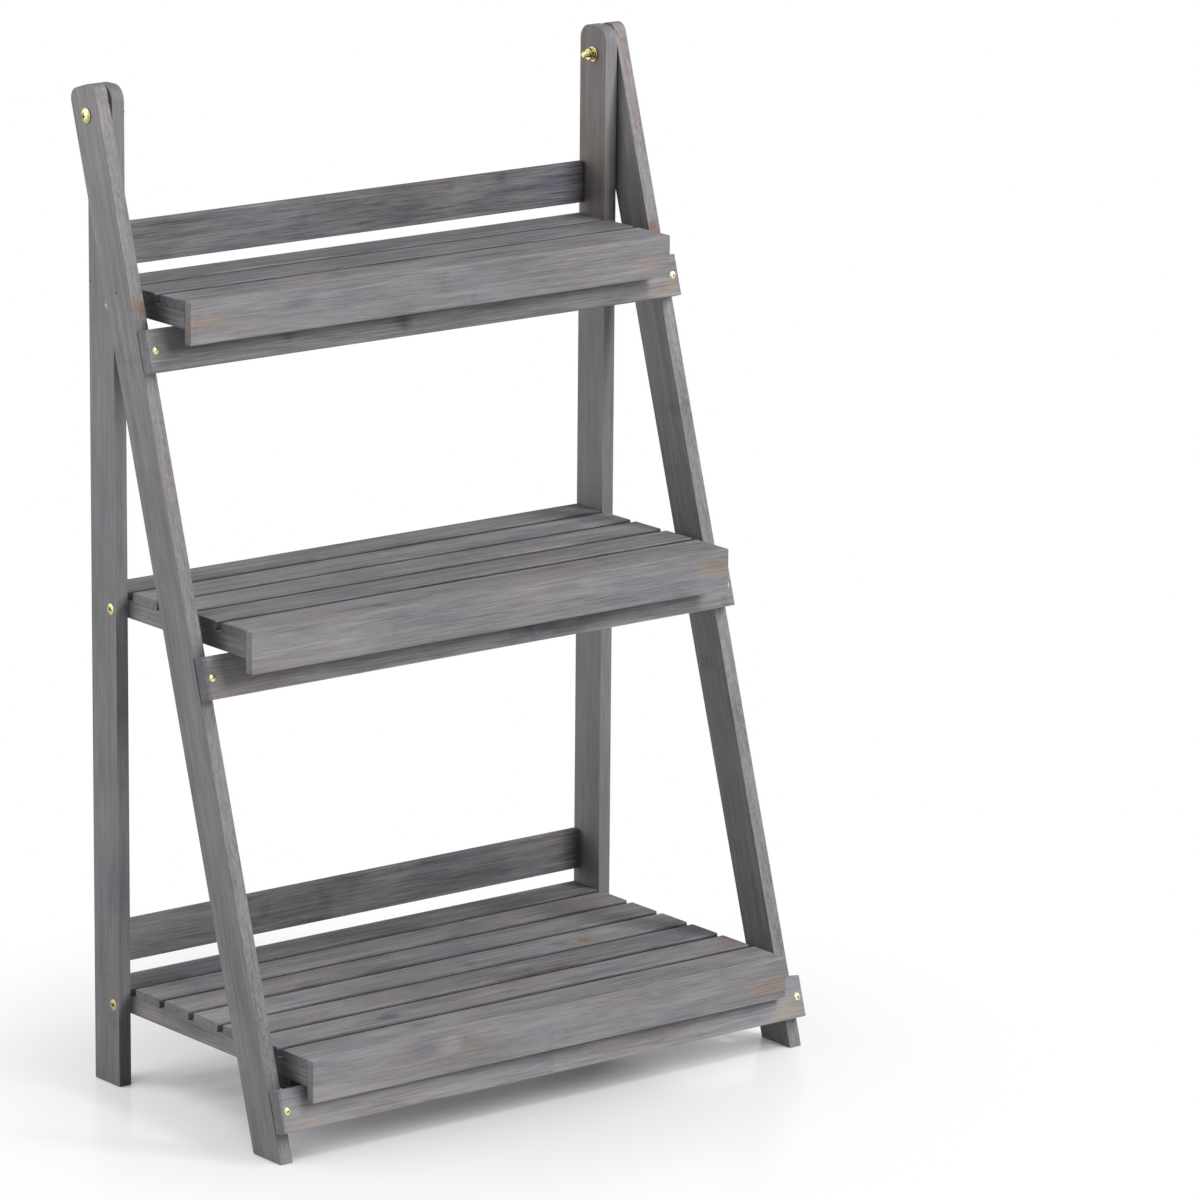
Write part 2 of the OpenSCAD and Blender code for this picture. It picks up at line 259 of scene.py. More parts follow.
# The direction of a board's grain (its X), width (its Y) and thickness (its Z), as a rotation
ALONG_X_FLAT = Matrix.Identity(3)
ALONG_X_UPRIGHT = Matrix.Rotation(math.radians(90), 3, "X")
ALONG_X_SLANTED = Matrix.Rotation(math.radians(90) - open_angle, 3, "X")
ALONG_Y = Matrix.Rotation(math.radians(90), 3, "Z")
ALONG_Z = Matrix.Rotation(math.radians(-90), 3, "Y")
ALONG_LEG = Matrix.Rotation(-open_angle, 3, "X") @ ALONG_Z


def board_frame(node, turn):
    """Centre of a board, and its half sizes in the frame that turn gives."""
    back = turn.transposed()
    points = [back @ vertex.co for vertex in nodes[node].data.vertices]
    low = Vector(min(p[i] for p in points) for i in range(3))
    high = Vector(max(p[i] for p in points) for i in range(3))
    return turn @ ((low + high) / 2), (high - low) / 2


def own_frame(t, centre, turn):
    """Place and normal of the shaded point in the frame of a board."""
    point = t.node("ShaderNodeTexCoord").outputs
    turned = {"Rotation": turn.to_euler()}
    place = {"Vector": point["Object"], "Location": centre} | turned
    normal = {"Vector": point["Normal"]} | turned
    return [t.node("ShaderNodeMapping", inputs, vector_type="TEXTURE").outputs[0]
            for inputs in (place, normal)]


def bent_round(t, place, knots):
    """Place, bent round the knots, and the outputs of each knot. A knot is its centre and its radius, in
    mm."""
    made = []
    for centre, radius in knots:
        knot = t.node("ShaderNodeGroup", {
            "Vector": place, "Centre": [value * MM for value in centre], "Radius": radius * MM,
        }, node_tree=KNOT).outputs
        place = knot["Vector"]
        made.append(knot)
    return place, made


def pine_grain(t, place, half, seed):
    """Grain of a board that is cut from its own part of a tree."""
    rng = random.Random(seed)
    part = [rng.uniform(-40, 40) for _ in range(3)]
    off_centre = rng.uniform(-0.6, 0.6) * half.y
    depth = rng.choice((-1, 1)) * rng.uniform(28, 75) * MM
    ring = rng.uniform(2.6, 4.0) * MM
    return t.node("ShaderNodeGroup", {
        "Vector": place, "Seed": part, "Pith": (0, off_centre, depth), "Ring": ring,
    }, node_tree=GRAIN).outputs


def looking(t, part):
    """1 where a face's normal has a part near 1 along an axis, softened over the arrises."""
    return t.remap(part, 0.6, 0.9)


def arris_mask(t, place, half, cloud):
    """1 on the board's edges, falling to 0 within 1 mm or so, unevenly, as the cloud goes. It is the
    second nearest face that counts, because a point on an edge is near two."""
    gap = t.parts(t.vector("SUBTRACT", tuple(half), t.vector("ABSOLUTE", place)))
    lowest = t.math("MINIMUM", t.math("MINIMUM", gap["X"], gap["Y"]), gap["Z"])
    highest = t.math("MAXIMUM", t.math("MAXIMUM", gap["X"], gap["Y"]), gap["Z"])
    total = t.math("ADD", t.math("ADD", gap["X"], gap["Y"]), gap["Z"])
    second = t.math("SUBTRACT", total, t.math("ADD", lowest, highest))
    width = t.math("MULTIPLY_ADD", cloud, 3.0 * MM, -0.6 * MM)
    return t.remap(second, width, 0.0)


def stain_and_shade(t, colour, kind, mask, share=1.0):
    """Colour with a kind of stain or of painted shade, at that share of its strength where the mask is 1.
    """
    return t.mix(t.math("MULTIPLY", mask, share), colour, STAINS_AND_SHADES[kind], "MULTIPLY")


def patches(t, colour, place, cloud, stains):
    """Adds patches of stain and of painted shade. Each is its centre and its reach, in mm along the
    grain, across it and through the board, and its kind."""
    for centre, reach, kind in stains:
        offset = t.vector("SUBTRACT", place, [value * MM for value in centre])
        share = t.length(t.scaled(offset, [1 / (value * MM) for value in reach]))
        outline = t.swing(cloud, PIT_AND_SHADE_WANDER if kind == "pit_and_shade" else PATCH_WANDER, share)
        colour = stain_and_shade(t, colour, kind, t.remap(outline, PATCH_GONE, PATCH_FULL))
    return colour


def tinted(t, colour, tint, share):
    """Colour that is warmer where the tint is high, and bluer where it is low."""
    colour = stain_and_shade(t, colour, "warm", t.remap(tint, 0.50, 0.68), share)
    return stain_and_shade(t, colour, "blue", t.remap(tint, 0.48, 0.32), share)


def with_knots(t, colour, fibre, knots):
    """Adds each knot and the dark halo round it."""
    for knot in knots:
        colour = stain_and_shade(t, colour, "dark", knot["Halo"], HALO_SHARE)
        heart = t.mix(fibre, KNOT_HEART, KNOT_RIM)
        colour = t.mix(t.math("MULTIPLY", knot["Mask"], KNOT_SHARE), colour, heart)
    return colour


def wood(node, seed, turn, tone=0.0, contrast=1.0, ends=(0.0, 0.0), edge=0.0, mottle=0.6,
         arris_tone=("pale", 0.35), gap=None, knots=(), stains=()):
    """Grey-washed pine for one board, whose grain has the direction that turn gives.

    tone lifts or darkens it, and contrast scales its grain. ends is how much lighter both ends are than
    the middle, and what the far end has over that and the near end under it: light and shade painted
    along the board. edge lightens its narrow, rough-sawn sides, and mottle is the strength of their
    grain. The arrises get a look, with how much of it shows: pale is wear and partly a painted
    highlight, and dark makes them darker. gap is how far down, in mm, a slat's front side stays clear of
    the painted shade in the gap before it. knots, stains and patches of painted shade are placed in mm
    from the board's centre."""
    material, t, shader = new_material("wood_" + node)
    centre, half = board_frame(node, turn)
    place, normal = own_frame(t, centre, turn)
    bent, knots_made = bent_round(t, place, knots)
    grain = pine_grain(t, bent, half, seed)
    within = t.parts(place)
    facing = t.parts(t.vector("ABSOLUTE", normal))

    level = t.swing(grain["Level"], contrast, 0.5 + tone)
    along = t.math("DIVIDE", within["X"], half.x)
    level = t.math("MULTIPLY_ADD", t.math("MULTIPLY", along, along), ends[0], level)
    level = t.math("MULTIPLY_ADD", along, ends[1], level)
    if edge:
        sawn = t.noise(t.scaled(place, (160, 480, 480)), detail=4, roughness=0.75)
        level = t.math("MULTIPLY_ADD", looking(t, facing["Y"]), t.swing(sawn, mottle, edge), level)

    colour = t.mix(level, GREY_DARK, GREY_LIGHT)
    colour = tinted(t, colour, grain["Tint"], TINT_SHARE * contrast)
    colour = patches(t, colour, place, grain["Cloud"], stains)
    colour = with_knots(t, colour, grain["Fibre"], knots_made)
    # End grain drinks more stain, and the arrises are paler with wear and partly a painted highlight, or
    # on the legs darker
    colour = stain_and_shade(t, colour, "dark", looking(t, facing["X"]), END_GRAIN_SHARE)
    colour = stain_and_shade(t, colour, arris_tone[0], arris_mask(t, place, half, grain["Cloud"]), arris_tone[1])
    # Painted shade on a slat's front side, down in the gap before it
    if gap is not None:
        front = looking(t, t.math("MULTIPLY", t.parts(normal)["Y"], -1))
        light = half.z - gap * MM
        deep = t.remap(within["Z"], light, light - GAP_FADE)
        colour = stain_and_shade(t, colour, "shade", t.math("MULTIPLY", front, deep))

    t.link(colour, shader.inputs["Base Color"])
    rough = t.remap(grain["Fibre"], 0.25, 0.75, 0.60, 0.80, smooth=False)
    t.link(rough, shader.inputs["Roughness"])
    shader.inputs["Specular IOR Level"].default_value = 0.16
    bump = t.node("ShaderNodeBump", {"Strength": 0.35, "Distance": 0.3 * MM, "Height": grain["Relief"]})
    t.link(bump.outputs["Normal"], shader.inputs["Normal"])
    return material


def dress(node, material, ease):
    """Gives a CAD piece its material and rounds its arrises by ease mm."""
    piece = nodes[node]
    piece.data.materials.clear()
    piece.data.materials.append(material)
    weld = piece.modifiers.new("weld", "WELD")
    weld.merge_threshold = 0.01 * MM
    flat = piece.modifiers.new("flat", "DECIMATE")
    flat.decimate_type = "DISSOLVE"
    flat.angle_limit = math.radians(0.5)
    bevel = piece.modifiers.new("arris", "BEVEL")
    bevel.width = ease * MM
    bevel.segments = 3
    bevel.limit_method = "ANGLE"
    bevel.angle_limit = math.radians(40)
    bevel.use_clamp_overlap = True
    bevel.harden_normals = True


# ---------------------------------------------------------------- boards

# What the boards of a kind have in common
POST = {"turn": ALONG_Z, "contrast": 0.55}
LEG = {"turn": ALONG_LEG, "contrast": 0.70, "edge": 0.10, "mottle": 1.4, "arris_tone": ("dark", 0.25)}
BACK_RAIL = {"turn": ALONG_X_UPRIGHT, "contrast": 1.1}
FRONT_RAIL = {"turn": ALONG_X_SLANTED, "contrast": 1.1, "ends": (0.09, -0.07)}
FASCIA = {"turn": ALONG_X_UPRIGHT, "contrast": 0.85}
SLAT = {"turn": ALONG_X_FLAT, "contrast": 1.08, "ends": (0.09, -0.07), "gap": 1.0}
LOW_SLAT = SLAT | {"gap": 1.7}
STOP_BLOCK = {"turn": ALONG_Y, "stains": [((0, 0, -6), (60, 60, 4), "straw")]}
BATTEN = {"turn": ALONG_Y, "stains": [((0, 0, -8), (400, 60, 4), "straw")]}
# Painted shade in the joint between the left end of a front rail and the leg behind it, and painted
# shade on the left ends of rails and slats, next to the legs
JOINT_SHADE = ((-300, 0, -7.5), (1.8, 60, 1.8), "pit_and_shade")
SHADED_RAIL_END = ((-300, 0, 0), (4, 60, 30), "dark")
SHADED_SLAT_END = ((-272, 0, 0), (4, 60, 30), "dark")

# A board's ends paint light and shade along it, as on the lighter left ends of the fascias and rails, the
# lighter top of the left post and the darker right end of the upper back rail
BOARDS = {
    "rear_post_left": dict(POST, tone=0.02, ends=(0, 0.10), stains=[
        ((-276, -14, 5), (26, 14, 6), "blue"),
        ((284, 17, 6.5), (1.6, 1.1, 2), "pit_and_shade"),
    ]),
    "rear_post_right": dict(POST, tone=0.05, stains=[
        ((330, 0, 6.5), (170, 30, 8), "warm"),
    ]),
    "back_rail_upper": dict(BACK_RAIL, tone=-0.10, ends=(0.03, -0.20), edge=-0.25, stains=[
        ((235, 0, 4), (40, 20, 8), "blue"),
    ]),
    "back_rail_lower": dict(BACK_RAIL, tone=0.02, ends=(0.06, -0.11), edge=-0.2, stains=[
        ((182, -11, 4), (12, 6, 6), "blue"),
        ((216, -14, 4), (14, 7, 6), "blue"),
    ]),
    "front_leg_left": dict(LEG, tone=0.03, ends=(0.10, 0.08), edge=0.17, stains=[
        ((285, -20, -1), (10, 4, 8), "orange"),
        ((460, -20, 3), (24, 6, 8), "pink"),
        ((301, 1, 6.5), (1.6, 1.1, 2), "pit_and_shade"),
    ]),
    "front_leg_right": dict(LEG, tone=-0.04, ends=(0.10, 0), stains=[
        ((290, -20, 0), (8, 3, 8), "orange"),
        ((420, -20, 0), (70, 6, 9), "warm"),
        ((470, -20, 0), (20, 6, 9), "warm"),
    ]),
    "front_rail_top": dict(FRONT_RAIL, tone=-0.03, stains=[
        JOINT_SHADE,
        ((-149, -6, 7.5), (12, 10, 9), "dark"),
        ((-23, -6, 7.5), (12, 9, 9), "dark"),
        ((283, -10, 7.5), (26, 14, 9), "tan"),
    ]),
    "front_rail_middle": dict(FRONT_RAIL, tone=0.15, stains=[
        JOINT_SHADE, SHADED_RAIL_END,
        ((120, -10, 7.5), (40, 7, 9), "dark"),
        ((-190, -12, 7.5), (30, 5, 9), "pale"),
    ]),
    "front_rail_bottom": dict(FRONT_RAIL, tone=0.24, stains=[
        JOINT_SHADE, SHADED_RAIL_END,
        ((-275, -12, 7.5), (22, 6, 9), "tan"),
        ((275, -9, 7.5), (30, 18, 9), "tan"),
    ]),
    "top_fascia": dict(FASCIA, tone=0.06, ends=(0.09, -0.10), stains=[
        ((-262, 0, 4.5), (26, 6, 6), "tan"),
        ((-152, 6, 4.5), (14, 9, 7), "blue"),
        ((-101, 4, 4.5), (20, 10, 7), "blue"),
        ((244, -5, 4.5), (26, 9, 6), "tan"),
    ]),
    "top_slat_1": dict(SLAT, tone=-0.11, stains=[
        ((-196, -6, -4.5), (9, 8, 4), "orange"),
        ((-158, 6, -4.5), (8, 7, 4), "orange"),
    ]),
    "top_slat_2": dict(SLAT, tone=-0.16, stains=[
        ((194, -11, 4.5), (20, 6, 6), "tan"),
        ((216, -9, 4.5), (10, 5, 6), "pale"),
        ((-213, 0, -4.5), (14, 9, 4), "orange"),
    ]),
    "top_slat_3": dict(SLAT, tone=-0.05, stains=[
        ((-128, -6, 4.5), (26, 8, 6), "pale"),
        ((-70, -4, 4.5), (24, 10, 6), "blue"),
        SHADED_SLAT_END,
    ]),
    "middle_fascia": dict(FASCIA, tone=0.07, ends=(0.09, -0.12), stains=[
        ((252, 4, 4.5), (22, 9, 6), "tan"),
    ]),
    "middle_slat_1": dict(SLAT, tone=-0.17, stains=[
        ((249, 4, 4.5), (24, 12, 6), "warm"),
    ]),
    "middle_slat_2": dict(SLAT, tone=-0.04, stains=[
        ((184, 0, -4.5), (9, 20, 4), "orange"),
    ]),
    "middle_slat_3": dict(SLAT, tone=-0.07, ends=(0.09, -0.13)),
    "middle_slat_4": dict(SLAT, tone=-0.12),
    "middle_slat_5": dict(SLAT, tone=-0.02, stains=[
        ((-120, -12, 4.5), (9, 6, 6), "dark"),
        ((255, 6, 4.5), (20, 10, 6), "tan"),
        SHADED_SLAT_END,
    ]),
    "bottom_fascia": dict(FASCIA, tone=0.15, ends=(0.09, -0.14), stains=[
        ((-262, -8, 4.5), (24, 5, 6), "tan"),
        ((-146, 14, 4.5), (22, 12, 7), "blue"),
        ((-120, 8, 4.5), (14, 8, 7), "pale"),
        ((-88, -3, 4.5), (12, 3, 6), "tan"),
        ((254, -4, 4.5), (30, 8, 6), "tan"),
    ]),
    "bottom_slat_1": dict(LOW_SLAT, tone=-0.24),
    "bottom_slat_2": dict(LOW_SLAT, tone=-0.07, stains=[
        ((214, -2, 4.5), (30, 12, 6), "warm"),
        ((253, -9, 4.5), (16, 8, 6), "tan"),
    ]),
    "bottom_slat_3": dict(LOW_SLAT, tone=-0.05, stains=[
        ((35, -7, 4.5), (30, 9, 6), "blue"),
    ]),
    "bottom_slat_4": dict(LOW_SLAT, tone=0.02, ends=(0.11, -0.11), knots=[((156, -9, 4.5), 8)], stains=[
        ((190, 4, 4.5), (22, 9, 6), "pale"),
        ((140, 14, 4.5), (26, 7, 6), "pale"),
        ((128, -4, 4.5), (16, 7, 6), "dark"),
        ((-157, 0, -4.5), (11, 10, 4), "orange"),
    ]),
    "bottom_slat_5": dict(LOW_SLAT, tone=-0.13, stains=[
        ((240, 0, 4.5), (40, 16, 6), "blue"),
    ]),
    "bottom_slat_6": dict(LOW_SLAT, stains=[
        ((258, 0, 4.5), (26, 14, 6), "tan"),
        ((-136, -4, 4.5), (13, 7, 6), "dark"),
        ((-18, 4, 4.5), (34, 6, 6), "pale"),
        ((0, -5, 4.5), (14, 4, 6), "dark"),
    ]),
    "bottom_slat_7": dict(LOW_SLAT, tone=0.03, stains=[
        ((-130, 4, 4.5), (22, 12, 6), "dark"),
        ((-178, 4, 4.5), (30, 8, 6), "pale"),
    ]),
    "stop_block_left": STOP_BLOCK,
    "stop_block_right": STOP_BLOCK,
}
for tier in TIERS:
    for side in ("left", "middle", "right"):
        BOARDS[f"{tier}_batten_{side}"] = BATTEN

FIRST_SEED = 40
for number, (node, look) in enumerate(BOARDS.items()):
    dress(node, wood(node, FIRST_SEED + number, **look), ease=0.7)


# ---------------------------------------------------------------- plated hardware

# Painted shade for the recesses and crevices of the plating
RECESS_SHADE = rgb(70, 52, 22)


def plated(name, dull, bright):
    """Yellow-passivated plating: pale brass with faint, cloudy tarnish, and painted shade that darkens it
    in its recesses.
    """
    material, t, shader = new_material(name)
    place = t.node("ShaderNodeTexCoord").outputs["Object"]
    cloud = t.noise(place, scale=260, detail=3)
    fine = t.noise(place, scale=2400)
    colour = t.mix(t.remap(cloud, 0.3, 0.7), dull, bright)
    # Painted shade: where ambient occlusion finds a recess or crevice, the colour goes dark
    shut = t.node("ShaderNodeAmbientOcclusion", {"Distance": 1.6 * MM}, samples=8).outputs["AO"]
    colour = t.mix(t.remap(shut, 0.9, 0.35), colour, RECESS_SHADE)
    t.link(colour, shader.inputs["Base Color"])
    t.link(t.remap(cloud, 0.3, 0.7, 0.16, 0.34), shader.inputs["Roughness"])
    shader.inputs["Metallic"].default_value = 1.0
    bump = t.node("ShaderNodeBump", {"Strength": 0.2, "Distance": 0.03 * MM, "Height": fine})
    t.link(bump.outputs["Normal"], shader.inputs["Normal"])
    return material


# The plating, and lighter and darker copies of it
PLATED = plated("yellow_plating", rgb(188, 178, 114), rgb(220, 211, 160))
PLATED_LIGHTER = plated("lighter_plating", rgb(212, 204, 142), rgb(240, 233, 186))
PLATED_DARKER = plated("darker_plating", rgb(158, 148, 98), rgb(192, 182, 136))

# Sizes of the fasteners, in mm
PIVOT_BOLT_RADIUS = 3.0
THREAD_PITCH = 1.0
THREAD_DEPTH = 0.5
CHAMFER = 0.7
SCREW_TIP_RADIUS = 0.2
# Width of a slot of a cross recess, as a share of its span
SLOT_WIDTH = 0.26
# Points round a fastener, rows to a turn of its thread, and rings on its crown
SIDES = 48
ROWS_PER_THREAD = 8
CROWN_RINGS = 14
SMOOTH_BELOW = math.radians(32)


def bridge(bm, lower, upper):
    """Faces between two loops with the same number of vertices."""
    for k in range(len(lower)):
        after = (k + 1) % len(lower)
        bm.faces.new((lower[k], lower[after], upper[after], upper[k]))


def closed_mesh(name, bm, *ends):
    """Mesh of bm, closed by a face on each of its end loops, which run anticlockwise as seen from
    outside."""
    for end in ends:
        bm.faces.new(end)
    mesh = bpy.data.meshes.new(name)
    bm.to_mesh(mesh)
    bm.free()
    return mesh


def revolved(name, rows):
    """Closed mesh round Z, from its rows of (height, radius) in mm, bottom first. A radius may be a
    function of the share of a turn."""
    bm = bmesh.new()
    loops = []
    for height, radius in rows:
        loop = []
        for k in range(SIDES):
            turn = 2 * math.pi * k / SIDES
            reach = radius(k / SIDES) if callable(radius) else radius
            x, y = reach * math.cos(turn) * MM, reach * math.sin(turn) * MM
            loop.append(bm.verts.new((x, y, height * MM)))
        loops.append(loop)
    for lower, upper in zip(loops, loops[1:]):
        bridge(bm, lower, upper)
    return closed_mesh(name, bm, reversed(loops[0]), loops[-1])


def shank_rows(length, radius, threaded, point=0.0):
    """Rows of a shank from its tip up to z = 0, with a helical thread over the lowest threaded mm. A
    screw narrows to its tip over the last point mm, and a bolt has a chamfer."""
    def thread(height):
        def reach(share):
            phase = (height / THREAD_PITCH - share) % 1.0
            groove = radius - THREAD_DEPTH * abs(2 * phase - 1)
            from_tip = height + length
            if point:
                return min(groove, max(SCREW_TIP_RADIUS, from_tip / point * radius))
            return min(groove, radius - CHAMFER + from_tip)
        return reach
    steps = int(threaded / THREAD_PITCH * ROWS_PER_THREAD)
    heights = [threaded * k / steps - length for k in range(steps + 1)]
    rows = [(height, thread(height)) for height in heights]
    return rows + [(heights[-1] + 0.3, radius), (0, radius)]


def dome_rows(radius, rim, height):
    """Rows of a domed head that stands on z = 0: a low upright rim, then a spherical crown."""
    crown = height - rim
    sphere = (radius ** 2 + crown ** 2) / (2 * crown)
    rows = [(0, radius - 0.25), (0.2, radius)]
    for k in range(CROWN_RINGS + 1):
        # The last ring is 3 per cent of the head, and a flat face closes it
        reach = radius * (1 - k / CROWN_RINGS * 0.97)
        rows.append((height - sphere + math.sqrt(sphere ** 2 - reach ** 2), reach))
    return rows


def tapered_wing(span, depth, top):
    """Cutter for one slot of a cross recess. It reaches above z = top and narrows downwards."""
    bm = bmesh.new()
    loops = []
    for share, height in ((1.15, top + 0.6), (0.35, top - depth)):
        x = span / 2 * share * MM
        y = span * SLOT_WIDTH / 2 * (0.4 + 0.6 * share) * MM
        corners = ((-x, -y), (x, -y), (x, y), (-x, y))
        loops.append([bm.verts.new((*corner, height * MM)) for corner in corners])
    upper, lower = loops
    bridge(bm, lower, upper)
    return closed_mesh("slot", bm, upper, reversed(lower))


def smooth(mesh):
    """Smooth shading, but for the sharp edges."""
    mesh.shade_smooth()
    mesh.set_sharp_from_angle(angle=SMOOTH_BELOW)


def linked(name, data):
    """Object in the scene with that data."""
    thing = bpy.data.objects.new(name, data)
    bpy.context.scene.collection.objects.link(thing)
    return thing


def recessed(mesh, span, depth, top):
    """The mesh with a cross recess for a driver in its crown, which is at z = top."""
    body = linked("head", mesh)
    cutters = []
    for turn in (0, 90):
        cutter = linked("slot", tapered_wing(span, depth, top))
        cutter.rotation_euler.z = math.radians(turn)
        cut = body.modifiers.new("recess", "BOOLEAN")
        cut.object = cutter
        cut.solver = "EXACT"
        cutters.append(cutter)
    bpy.context.view_layer.update()
    graph = bpy.context.evaluated_depsgraph_get()
    cut_mesh = bpy.data.meshes.new_from_object(body.evaluated_get(graph))
    for thing in (body, *cutters):
        bpy.data.objects.remove(thing)
    smooth(cut_mesh)
    return cut_mesh


def placed(name, mesh, material, places, node, body):
    """One object with a copy of the mesh at each place. It replaces the plain CAD node."""
    bm = bmesh.new()
    for place in places:
        copy = mesh.copy()
        copy.transform(place)
        bm.from_mesh(copy)
        bpy.data.meshes.remove(copy)
    joined = bpy.data.meshes.new(name)
    bm.to_mesh(joined)
    bm.free()
    smooth(joined)
    joined.materials.append(material)
    thing = linked(name, joined)
    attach(thing, body)
    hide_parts(node)


def outwards(side, x, pivot, turn):
    """Place of a pivot's bolt, with its head outwards on the left (side -1) or the right (1), x metres
    from the middle of the stand."""
    out = Matrix.Rotation(math.radians(90 * side), 4, "Y")
    return Matrix.Translation((side * x, pivot.y, pivot.z)) @ out @ Matrix.Rotation(turn, 4, "Z")


def x_reach(node):
    """Least and greatest distance of a node from the middle of the stand, in metres."""
    reach = [abs(vertex.co.x) for vertex in nodes[node].data.vertices]
    return min(reach), max(reach)


def ladder_bolts():
    """Domed bolts of the ladder's pivots, with a thread on the end that shows inside the posts."""
    rng = random.Random(7)
    head_radius, head_height = 7.25, 3.2
    inner, outer = x_reach("ladder_pivot_bolts")
    face = outer - head_height * MM
    shank = shank_rows((face - inner) / MM, PIVOT_BOLT_RADIUS, threaded=13)
    head = dome_rows(head_radius, rim=0.8, height=head_height)
    mesh = recessed(revolved("ladder_bolt", shank + head), span=7.0, depth=2.3, top=head_height)
    places = [outwards(side, face, ladder_pivot, rng.uniform(-0.3, 0.3)) for side in (-1, 1)]
    placed("ladder_bolts", mesh, PLATED, places, "ladder_pivot_bolts", "rear_frame")


def shelf_bolts():
    """Flush bolts of the shelves' pivots, with slightly raised oval heads."""
    rng = random.Random(8)
    head_radius, head_depth, head_height, sunk = 5.25, 3.0, 0.7, 0.2
    inner, outer = x_reach("shelf_pivot_bolts")
    shank = shank_rows((outer - inner) / MM, PIVOT_BOLT_RADIUS, threaded=10)[:-1]
    cone = [(-head_depth, PIVOT_BOLT_RADIUS), (-0.1, head_radius)]
    dome = dome_rows(head_radius, rim=0.3, height=head_height)[2:]
    crown = [(height - sunk, reach) for height, reach in dome]
    top = head_height - sunk
    mesh = recessed(revolved("shelf_bolt", shank + cone + crown), span=5.4, depth=1.9, top=top)
    places = []
    for pivot in shelf_pivots:
        places += [outwards(side, outer, pivot, rng.uniform(-0.5, 0.5)) for side in (-1, 1)]
    placed("shelf_bolts", mesh, PLATED_DARKER, places, "shelf_pivot_bolts", "rear_frame")


def screws():
    """Domed screws that hold the rails on the legs."""
    rng = random.Random(9)
    head_height = 1.6
    shank = shank_rows(length=35, radius=1.75, threaded=20, point=6)
    head = dome_rows(radius=3.5, rim=0.4, height=head_height)
    mesh = recessed(revolved("rail_screw", shank + head), span=3.8, depth=1.2, top=head_height)
    leg_mid = sum(x_reach("front_leg_left")) / 2
    forward = Matrix.Rotation(-open_angle, 4, "X") @ Matrix.Rotation(math.radians(90), 4, "X")
    places = []
    for tier in TIERS:
        centre, half = board_frame("front_rail_" + tier, ALONG_X_SLANTED)
        face = centre + ALONG_X_SLANTED @ Vector((0, 0, half.z))
        for side in (-1, 1):
            spin = Matrix.Rotation(rng.uniform(-0.6, 0.6), 4, "Z")
            places.append(Matrix.Translation((side * leg_mid, face.y, face.z)) @ forward @ spin)
    placed("screws", mesh, PLATED_LIGHTER, places, "rail_screws", "ladder")


ladder_bolts()
shelf_bolts()
screws()
for node in ("ladder_pivot_spacers", "ladder_pivot_washers", "ladder_pivot_nuts",
             "shelf_pivot_washers", "shelf_pivot_nuts"):
    dress(node, PLATED, ease=0.15)


# ---------------------------------------------------------------- studio

FLOOR_RADIUS = 14
FLOOR_DROP = 0.4 * MM
AMBIENT = 0.03
STAND_MIDDLE = Vector((0, 0, 0.45))
LAMP_DISTANCE = 3.0
CAMERA_PLACE = (-3.893, -5.1715, 2.040)
# The camera's directions, in degrees: to the right, downwards and its lean
CAMERA_YAW = 38.20
CAMERA_DIP = 13.85
CAMERA_ROLL = 0.5


def plain_floor():
    """Pale floor that takes the stand's shadow, and glows white to the eye away from the stand. The glow
    is painted light; near the stand it lifts the shade, and it is held back where the stand covers the
    floor, which paints shade there.
    """
    bpy.ops.mesh.primitive_circle_add(
        vertices=96, radius=FLOOR_RADIUS, fill_type="NGON", location=(0, 0, -FLOOR_DROP))
    floor = bpy.context.object
    floor.name = "studio_floor"
    material, t, shader = new_material("studio_floor")
    shader.inputs["Base Color"].default_value = (0.90, 0.90, 0.90, 1)
    shader.inputs["Roughness"].default_value = 0.18
    shader.inputs["Specular IOR Level"].default_value = 0.25
    place = t.node("ShaderNodeTexCoord").outputs["Object"]
    away = t.length(t.scaled(place, (1, 1, 0)))
    bare = t.node("ShaderNodeAmbientOcclusion", {"Distance": 0.15}, samples=16).outputs["AO"]
    # A white glow, painted light, grows with the distance in metres; ambient occlusion holds it back on
    # the floor that the stand covers, and so paints shade under the stand
    far = t.remap(away, 0.12, 0.58, 0.22, 1.0)
    fade = t.math("MULTIPLY", far, t.remap(bare, 0.36, 0.58, 0.24, 1.0))
    seen = t.node("ShaderNodeLightPath").outputs["Is Camera Ray"]
    white = t.node("ShaderNodeEmission", {"Color": (1, 1, 1, 1), "Strength": 1.0}).outputs[0]
    shown = t.math("MULTIPLY", fade, seen)
    blend = t.node("ShaderNodeMixShader", {0: shown, 1: shader.outputs[0], 2: white})
    t.link(blend.outputs[0], t.tree.nodes["Material Output"].inputs["Surface"])
    floor.data.materials.append(material)


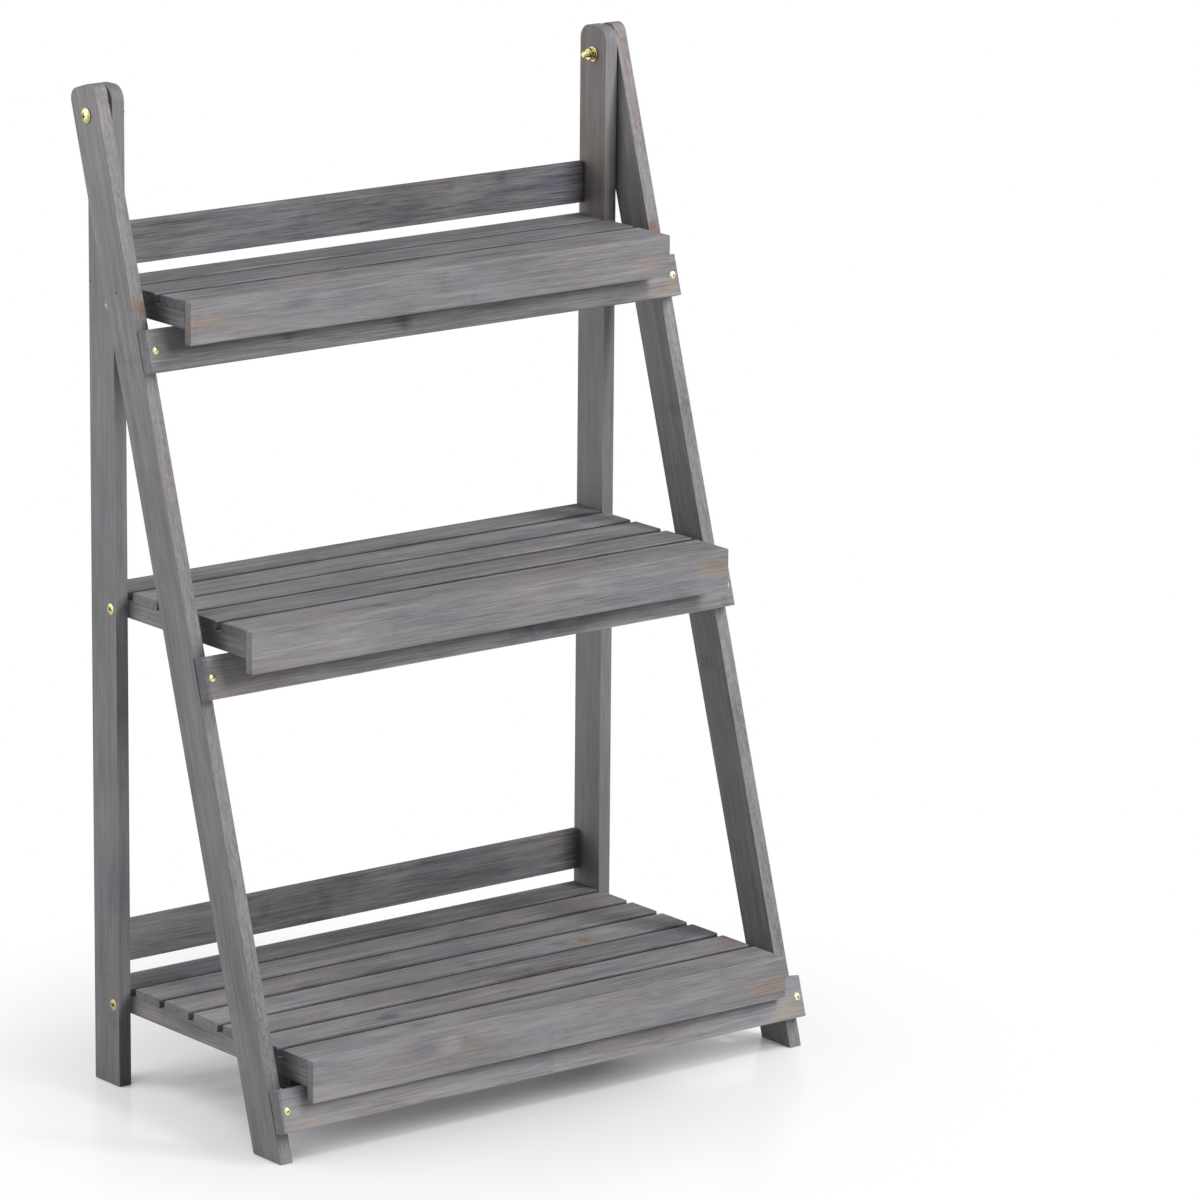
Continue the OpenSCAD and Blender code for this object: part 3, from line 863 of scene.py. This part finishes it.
def white_world():
    """White to the eye and in reflections, and a dim light on everything else."""
    world = bpy.data.worlds.new("studio")
    bpy.context.scene.world = world
    world.use_nodes = True
    t = Tree(world.node_tree)
    path = t.node("ShaderNodeLightPath").outputs
    seen = t.math("MAXIMUM", t.math("MAXIMUM", path["Is Camera Ray"], path["Is Glossy Ray"]),
                  path["Is Transmission Ray"])
    background = t.tree.nodes["Background"]
    background.inputs["Color"].default_value = (1, 1, 1, 1)
    t.link(t.remap(seen, 0, 1, AMBIENT, 1.0, smooth=False), background.inputs["Strength"])


def softbox(name, azimuth, elevation, size, power):
    """Square area lamp aimed at the middle of the stand. Azimuth 0 is in front of it, 90 to its right."""
    lamp = bpy.data.lights.new(name, "AREA")
    lamp.size = size
    lamp.energy = power
    thing = linked(name, lamp)
    around, up = math.radians(azimuth), math.radians(elevation)
    direction = Vector((math.sin(around) * math.cos(up), -math.cos(around) * math.cos(up), math.sin(up)))
    thing.location = STAND_MIDDLE + direction * LAMP_DISTANCE
    thing.rotation_euler = (-direction).to_track_quat("-Z", "Y").to_euler()


def camera():
    """Long lens from the front left, a little above the top of the stand."""
    data = bpy.data.cameras.new("camera")
    data.sensor_width = 36
    data.lens = 218.5
    data.clip_end = 100
    thing = linked("camera", data)
    yaw = Matrix.Rotation(math.radians(-CAMERA_YAW), 4, "Z")
    pitch = Matrix.Rotation(math.radians(90 - CAMERA_DIP), 4, "X")
    roll = Matrix.Rotation(math.radians(CAMERA_ROLL), 4, "Z")
    thing.matrix_world = Matrix.Translation(CAMERA_PLACE) @ yaw @ pitch @ roll
    bpy.context.scene.camera = thing


plain_floor()
white_world()
softbox("key", azimuth=43, elevation=50, size=0.5, power=31)
softbox("front", azimuth=26, elevation=30, size=1.6, power=62)
softbox("right", azimuth=98, elevation=30, size=2.4, power=24)
softbox("left_high", azimuth=-108, elevation=55, size=1.6, power=19)
softbox("left_low", azimuth=-125, elevation=10, size=2.4, power=48)
camera()
bpy.context.scene.view_settings.view_transform = "Standard"
